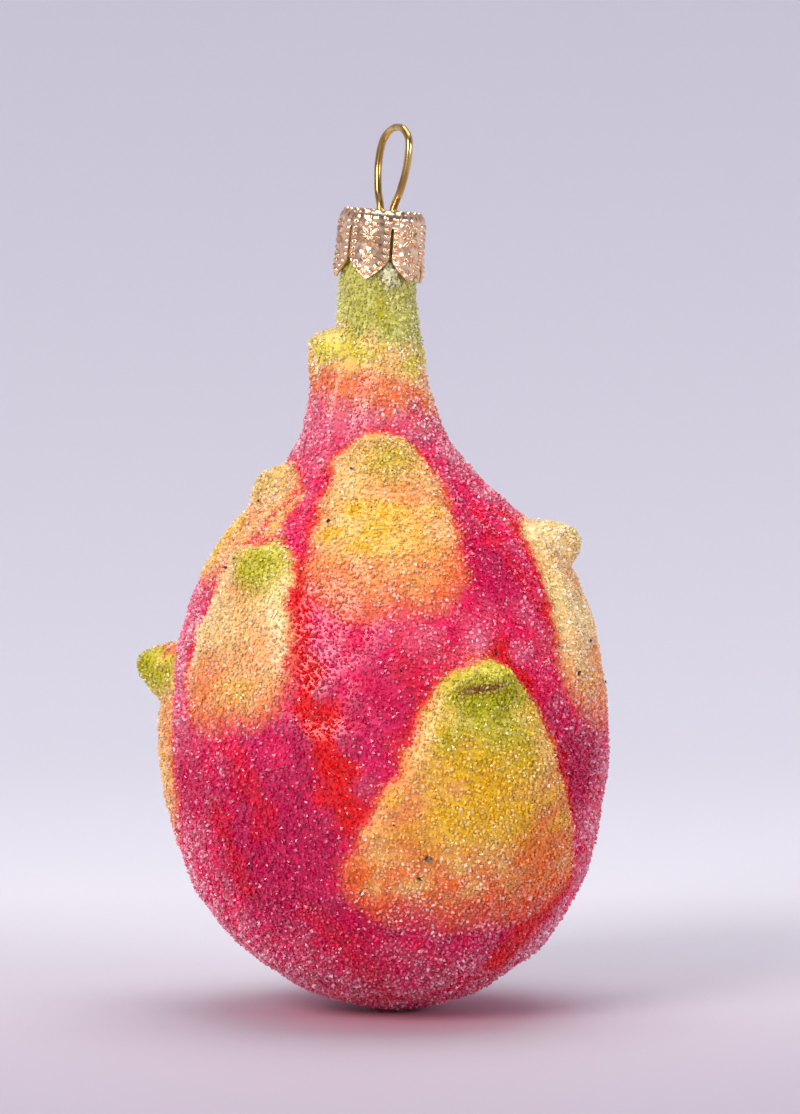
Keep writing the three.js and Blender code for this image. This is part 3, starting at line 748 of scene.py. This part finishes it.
def relief(across, depth):
    """How far the pressed pattern stands out of the sheet."""
    # Shallow dents of the pressed sheet
    dents = np.sin(3.1 * across + 1.3 * depth + 1) * np.cos(3.7 * depth - 1.1 * across)
    off_star = np.hypot(across, depth - STAR_DEPTH) - STAR_RAY_LENGTH
    high = DENT_DEPTH * dents * smooth((depth - 0.7) / 0.6) * smooth(off_star / 0.5 + 0.5)
    for x, y in petal_beads():
        room = 1 - ((across - x) ** 2 + (depth - y) ** 2) / BEAD_RADIUS**2
        high = np.maximum(high, BEAD_RISE * np.sqrt(np.maximum(0, room)))
    for ray in range(STAR_RAYS):
        turn = ray * 2 * math.pi / STAR_RAYS
        along = across * math.sin(turn) + (depth - STAR_DEPTH) * math.cos(turn)
        aside = np.abs(across * math.cos(turn) - (depth - STAR_DEPTH) * math.sin(turn))
        reach = STAR_RAY_LENGTH * (1 if ray % 2 else 0.85)
        narrow = 0.2 * (1 - 0.4 * along / reach)
        ends = smooth((reach - along) / 0.2) * smooth(along / 0.25 - 0.3)
        ridge = STAR_RISE * np.maximum(0, 1 - aside / narrow) * ends
        high = np.maximum(high, np.where(along > 0, ridge, 0))
    fan = np.cos(np.degrees(across / CAP_RADIUS) * math.pi * 2 / 10)
    high = np.maximum(high, 0.09 * fan * smooth((depth - 0.35) / 0.2) * smooth((1.45 - depth) / 0.2))
    edge = petal_half(depth) - np.abs(across)
    low_rim = 0.08 * smooth((0.28 - edge) / 0.12) * smooth((depth - SLIT_FROM) / 0.4)
    return np.maximum(high, low_rim)


def rim_beads(turn, depth):
    """The row of small beads where the cap's side bends over into its top."""
    spacing = math.radians(15)
    away = (np.mod(turn + spacing / 2, spacing) - spacing / 2) * CAP_RADIUS
    room = 1 - (away / 0.36) ** 2 - ((depth - 0.22) / 0.17) ** 2
    return 0.2 * np.sqrt(np.maximum(0, room))


def cap():
    """The pressed crown cap: six petals of thin sheet with their pattern."""
    flat = CAP_RADIUS - CAP_SHOULDER
    top_radii = np.linspace(0, flat, TOP_ROWS)
    bend = np.arange(1, SHOULDER_ROWS + 1) / SHOULDER_ROWS * math.pi / 2
    radii = np.concatenate([top_radii, flat + CAP_SHOULDER * np.sin(bend)])
    depths = np.concatenate([np.zeros(TOP_ROWS), CAP_SHOULDER * (1 - np.cos(bend))])
    wall = np.linspace(CAP_SHOULDER, CAP_LENGTH, WALL_ROWS)[1:]
    radii = np.concatenate([radii, cap_radius_at(wall)])
    depths = np.concatenate([depths, wall])
    # The side's own slope, from straight up on the top to straight out on the wall
    slope = np.concatenate([np.zeros(TOP_ROWS), bend, np.full(len(wall), math.pi / 2)])
    rows, columns = len(radii), PETAL_COLUMNS + 1
    share = np.linspace(-1, 1, columns)
    sheets, faces = [], []
    for petal in range(PETALS):
        middle = math.radians(FIRST_SLIT_TURN) + (petal + 0.5) * 2 * math.pi / PETALS
        depth = np.repeat(depths[:, None], columns, 1)
        across = petal_half(depth) * share[None]
        turn = middle + across / CAP_RADIUS
        high = np.maximum(relief(across, depth), rim_beads(turn, depth))
        high = high * np.where(radii[:, None] < flat - 0.4, 0, 1)
        bulge = 0.12 * math.sin(petal * 2.4) * smooth((depth - 4) / 5)
        for out in (high, np.full_like(high, -CAP_SHEET)):
            radius = np.maximum(0, radii[:, None] + (out + bulge) * np.sin(slope)[:, None])
            height = -depth + out * np.cos(slope)[:, None]
            sheet = np.stack([radius * np.sin(turn), -radius * np.cos(turn), height], -1)
            sheets.append(sheet.reshape(-1, 3))
        outer = petal * 2 * rows * columns
        inner = outer + rows * columns
        faces += [grid_faces(rows, columns, closed=False, inward=True) + outer]
        faces += [grid_faces(rows, columns, closed=False) + inner]
        open_rows = np.arange(rows - 1)[depths[:-1] >= SLIT_FROM - 0.001]
        for column, hand in ((0, 1), (columns - 1, -1)):
            upper, lower = open_rows * columns + column, (open_rows + 1) * columns + column
            strip = np.stack([upper + outer, upper + inner, lower + inner, lower + outer], -1)[:, ::hand]
            faces += [strip[:, [0, 1, 2]], strip[:, [0, 2, 3]]]
    corners = np.vstack(sheets)
    tilt = math.radians(CAP_TILT)
    x, z = corners[:, 0].copy(), corners[:, 2].copy()
    corners[:, 0] = x * math.cos(tilt) + z * math.sin(tilt) + AXIS_X + float(lean_at(CAP_TOP))
    corners[:, 2] = -x * math.sin(tilt) + z * math.cos(tilt) + TIP_Z + CAP_TOP
    piece = mesh_object("crown_cap", corners, np.vstack(faces))
    work = bmesh.new()
    work.from_mesh(piece.data)
    bmesh.ops.remove_doubles(work, verts=work.verts, dist=2e-6)
    work.to_mesh(piece.data)
    work.free()
    return piece


def leg_place(hand, half_gap, height):
    """A point of the wire's middle line, in millimetres in the frame."""
    above = max(0, (height - CAP_TOP) / (EYE_TOP - CAP_TOP))
    offset = LEG_OFFSET * float(smooth((height - LEG_OFFSET_FROM) / (CAP_TOP - LEG_OFFSET_FROM)))
    turn = math.radians(EYE_TURN)
    middle = AXIS_X + float(lean_at(height)) + offset + EYE_SIDE_LEAN * above
    return (
        middle + hand * half_gap * math.cos(turn),
        hand * half_gap * math.sin(turn),
        TIP_Z + height,
    )


def even_curve(points, steps):
    """A centripetal curve through points, at even steps of its length."""
    p = np.array(points, float)
    p = np.vstack([2 * p[0] - p[1], p, 2 * p[-1] - p[-2]])
    pieces = []
    for i in range(1, len(p) - 2):
        p0, p1, p2, p3 = p[i - 1], p[i], p[i + 1], p[i + 2]
        d0, d1, d2 = (math.sqrt(np.linalg.norm(b - a)) for a, b in ((p0, p1), (p1, p2), (p2, p3)))
        t1 = ((p1 - p0) / d0 - (p2 - p0) / (d0 + d1) + (p2 - p1) / d1) * d1
        t2 = ((p2 - p1) / d1 - (p3 - p1) / (d1 + d2) + (p3 - p2) / d2) * d1
        w = np.linspace(0, 1, 60, endpoint=i == len(p) - 3)[:, None]
        pieces.append(
            p1 + t1 * w + (-3 * p1 + 3 * p2 - 2 * t1 - t2) * w**2 + (2 * p1 - 2 * p2 + t1 + t2) * w**3
        )
    line = np.vstack(pieces)
    along = np.concatenate([[0], np.cumsum(np.linalg.norm(np.diff(line, axis=0), axis=1))])
    even = np.linspace(0, along[-1], steps)
    return np.stack([np.interp(even, along, line[:, k]) for k in range(3)], -1)


def hanger_wire():
    """The bent wire: an eye above the cap and two legs that spread inside the neck."""
    up = [leg_place(-1, gap, height) for gap, height in WIRE_HALF_GAPS]
    down = [leg_place(1, gap, height) for gap, height in reversed(WIRE_HALF_GAPS)]
    line = even_curve([*up, leg_place(0, 0, EYE_TOP), *down], 460)
    sides = 20
    ahead = np.gradient(line, axis=0)
    ahead /= np.linalg.norm(ahead, axis=1)[:, None]
    turn = math.radians(EYE_TURN)
    level = np.array([-math.sin(turn), math.cos(turn), 0.0])
    first = level[None] - ahead * (ahead @ level)[:, None]
    first /= np.linalg.norm(first, axis=1)[:, None]
    second = np.cross(ahead, first)
    around = np.arange(sides) / sides * 2 * math.pi
    ring = first[:, None] * np.cos(around)[None, :, None]
    ring = ring + second[:, None] * np.sin(around)[None, :, None]
    corners = (line[:, None] + ring * WIRE_RADIUS).reshape(-1, 3)
    steps = len(line)
    faces = [grid_faces(steps, sides)]
    ends = np.vstack([line[0] - ahead[0] * 0.12, line[-1] + ahead[-1] * 0.12])
    corners = np.vstack([corners, ends])
    c = np.arange(sides)
    n = (c + 1) % sides
    last = (steps - 1) * sides
    faces.append(np.stack([np.full(sides, steps * sides), n, c], -1))
    faces.append(np.stack([last + c, last + n, np.full(sides, steps * sides + 1)], -1))
    return mesh_object("wire_eye", corners, np.vstack(faces))


def metal(name, color, dark, roughness, scale, stretch):
    """Bright metal with a little tarnish and fine marks."""
    material, nodes, links, shader = new_material(name)
    coordinate = nodes.new("ShaderNodeTexCoord")
    mapping = nodes.new("ShaderNodeMapping")
    mapping.inputs["Scale"].default_value = stretch
    links.new(coordinate.outputs["Object"], mapping.inputs["Vector"])
    noise = nodes.new("ShaderNodeTexNoise")
    noise.inputs["Scale"].default_value = scale
    noise.inputs["Detail"].default_value = 5
    links.new(mapping.outputs["Vector"], noise.inputs["Vector"])
    ramp = nodes.new("ShaderNodeValToRGB")
    ramp.color_ramp.elements[0].position = 0.35
    ramp.color_ramp.elements[0].color = (*linear(dark), 1)
    ramp.color_ramp.elements[1].position = 0.6
    ramp.color_ramp.elements[1].color = (*linear(color), 1)
    links.new(noise.outputs["Fac"], ramp.inputs["Fac"])
    links.new(ramp.outputs["Color"], shader.inputs["Base Color"])
    spread = nodes.new("ShaderNodeMapRange")
    spread.inputs["To Min"].default_value = roughness * 1.5
    spread.inputs["To Max"].default_value = roughness * 0.7
    links.new(noise.outputs["Fac"], spread.inputs["Value"])
    links.new(spread.outputs["Result"], shader.inputs["Roughness"])
    bumpy(nodes, links, shader, noise.outputs["Fac"], 0.15, 0.00005)
    shader.inputs["Metallic"].default_value = 1
    return material


skin_piece = glass_skin()
skin_piece.data.materials.append(tinted("lacquered_glass", 0.35, 0.08, 0))
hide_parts("glass_bulb")
coat_material = tinted("crystal_coat", 0.14, 0.1, 0.06)
coat_pieces = coat()
for piece in coat_pieces:
    piece.data.materials.append(coat_material)
for piece in [skin_piece, *coat_pieces]:
    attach(piece, "root")

cap_piece = cap()
cap_metal = metal("rose_gold", (255, 226, 188), (232, 174, 130), 0.14, 1500, (1, 1, 1))
cap_piece.data.materials.append(cap_metal)
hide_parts("cap")
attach(cap_piece, "root")

wire_piece = hanger_wire()
wire_metal = metal("brass_wire", (226, 190, 120), (160, 126, 64), 0.17, 700, (1, 1, 0.15))
wire_piece.data.materials.append(wire_metal)
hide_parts("hanger_wire")
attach(wire_piece, "root")


# The backdrop's colour from near the camera to far behind, as painted shade, dark near the camera for the
# metal to reflect and a little dimmer far behind: place, red, green, blue
TONES = [
    (0, 0.34, 0.33, 0.36),
    (0.22, 0.4, 0.36, 0.42),
    (0.3, 0.55, 0.49, 0.57),
    (0.42, 0.81, 0.79, 0.84),
    (0.62, 0.79, 0.78, 0.85),
    (0.86, 0.74, 0.72, 0.81),
]
FLOOR_RADIUS, FLOOR_BEND, WALL_HEIGHT, FLOOR_COLUMNS = 330, 760, 1500, 96
FLOOR_GAP = 0.25  # below the bulb, for the crystals under it
# A painted pink contact shadow round the bulb's foot: its colour, and the distances in metres over which
# it fades out
PAINTED_SHADOW_COLOR, PAINTED_SHADOW_FROM, PAINTED_SHADOW_TO = (0.7, 0.3, 0.42, 1), 0.002, 0.03


def studio():
    """A round pale backdrop, open above, that stands round the lights and the camera."""
    floor_z = TIP_Z - FLOOR_GAP
    profile = [(r, 0) for r in (0, 60, 160, FLOOR_RADIUS)]
    profile += [
        (FLOOR_RADIUS + FLOOR_BEND * math.sin(t), FLOOR_BEND * (1 - math.cos(t)))
        for t in np.linspace(0, math.pi / 2, 30)[1:]
    ]
    profile.append((FLOOR_RADIUS + FLOOR_BEND, WALL_HEIGHT))
    profile = np.array(profile, float)
    columns = FLOOR_COLUMNS
    turn = np.arange(columns) / columns * 2 * math.pi
    corners = np.array([
        (AXIS_X + r * math.cos(t), r * math.sin(t), floor_z + z) for r, z in profile[1:] for t in turn
    ])
    corners = np.vstack([corners, [[AXIS_X, 0, floor_z]]])
    rows = len(profile) - 1
    column = np.arange(columns)
    middle = np.stack([np.full(columns, len(corners) - 1), column, (column + 1) % columns], -1)
    faces = np.vstack([grid_faces(rows, columns, inward=True), middle])
    floor = mesh_object("studio_floor", corners, faces)
    material, nodes, links, shader = new_material("studio_paper")
    coordinate = nodes.new("ShaderNodeTexCoord")
    split = nodes.new("ShaderNodeSeparateXYZ")
    links.new(coordinate.outputs["Object"], split.inputs["Vector"])
    # Painted shade on the backdrop: darker towards the camera, a little dimmer far behind
    depth = nodes.new("ShaderNodeMapRange")
    depth.inputs["From Min"].default_value, depth.inputs["From Max"].default_value = -0.5, 1
    links.new(split.outputs["Y"], depth.inputs["Value"])
    ramp = nodes.new("ShaderNodeValToRGB")
    for place, *tone in TONES[1:-1]:
        ramp.color_ramp.elements.new(place).color = (*tone, 1)
    ramp.color_ramp.elements[0].color = (*TONES[0][1:], 1)
    ramp.color_ramp.elements[-1].position = TONES[-1][0]
    ramp.color_ramp.elements[-1].color = (*TONES[-1][1:], 1)
    links.new(depth.outputs["Result"], ramp.inputs["Fac"])
    level = nodes.new("ShaderNodeVectorMath")
    level.operation = "MULTIPLY"
    level.inputs[1].default_value = (1, 1, 0)
    links.new(coordinate.outputs["Object"], level.inputs[0])
    away = nodes.new("ShaderNodeVectorMath")
    away.operation = "LENGTH"
    links.new(level.outputs["Vector"], away.inputs[0])
    # Painted shadow: the floor turns darker pink close to the bulb's foot
    glow = nodes.new("ShaderNodeMapRange")
    glow.interpolation_type = "SMOOTHSTEP"
    glow.inputs["From Min"].default_value, glow.inputs["From Max"].default_value = PAINTED_SHADOW_FROM, PAINTED_SHADOW_TO
    links.new(away.outputs["Value"], glow.inputs["Value"])
    painted_shadow = nodes.new("ShaderNodeMix")
    painted_shadow.data_type = "RGBA"
    painted_shadow.inputs["A"].default_value = PAINTED_SHADOW_COLOR
    links.new(glow.outputs["Result"], painted_shadow.inputs["Factor"])
    links.new(ramp.outputs["Color"], painted_shadow.inputs["B"])
    links.new(painted_shadow.outputs["Result"], shader.inputs["Base Color"])
    shader.inputs["Roughness"].default_value = 0.7
    floor.data.materials.append(material)


def area_light(name, place, size, power, color):
    """A round soft light that points at the bulb's middle."""
    lamp = bpy.data.lights.new(name, "AREA")
    lamp.shape = "DISK"
    lamp.size = size
    lamp.energy = power
    lamp.color = color
    lamp_object = bpy.data.objects.new(name, lamp)
    bpy.context.collection.objects.link(lamp_object)
    lamp_object.location = place
    target = Vector((AXIS_X * MM, 0, (TIP_Z + 50) * MM))
    lamp_object.rotation_euler = (target - Vector(place)).to_track_quat("-Z", "Y").to_euler()


# name, place in metres, size in metres, power in watts, colour
LIGHTS = [
    ("key", (-0.42, -0.62, 0.34), 0.42, 4.8, (1, 0.98, 0.96)),
    ("fill", (0.62, -0.5, 0.05), 0.5, 3.9, (0.98, 0.98, 1)),
    ("top", (0.05, 0.1, 0.62), 0.6, 2.5, (1, 1, 1)),
]
SKY_COLOR, SKY_STRENGTH = (0.94, 0.92, 1, 1), 0.55

PIXELS_PER_MM, FRAME_WIDTH, FRAME_HEIGHT = 8.0, 800, 1114
AXIS_PIXEL, TIP_PIXEL = 386, 1010  # of the photograph: the belly's axis across, and the lowest point down
CAMERA_DISTANCE, CAMERA_RISE = 700, 3


def camera():
    """The camera at the photograph's place and scale."""
    lens_data = bpy.data.cameras.new("camera")
    lens_data.sensor_fit = "VERTICAL"
    lens_data.sensor_height = 24
    lens_data.lens = 24 * CAMERA_DISTANCE / (FRAME_HEIGHT / PIXELS_PER_MM)
    lens_data.clip_start, lens_data.clip_end = 0.01, 20
    eye = bpy.data.objects.new("camera", lens_data)
    bpy.context.collection.objects.link(eye)
    aim = Vector((
        AXIS_X + (FRAME_WIDTH / 2 - AXIS_PIXEL) / PIXELS_PER_MM,
        0,
        TIP_Z + (TIP_PIXEL - FRAME_HEIGHT / 2) / PIXELS_PER_MM,
    )) * MM
    rise = math.radians(CAMERA_RISE)
    back = Vector((0, -math.cos(rise), math.sin(rise)))
    eye.location = aim + back * CAMERA_DISTANCE * MM
    eye.rotation_euler = (-back).to_track_quat("-Z", "Y").to_euler()
    bpy.context.scene.camera = eye


studio()
for light in LIGHTS:
    area_light(*light)
world = bpy.data.worlds.new("studio")
world.use_nodes = True
world.node_tree.nodes["Background"].inputs["Color"].default_value = SKY_COLOR
world.node_tree.nodes["Background"].inputs["Strength"].default_value = SKY_STRENGTH
bpy.context.scene.world = world
bpy.context.scene.view_settings.view_transform = "Standard"
camera()
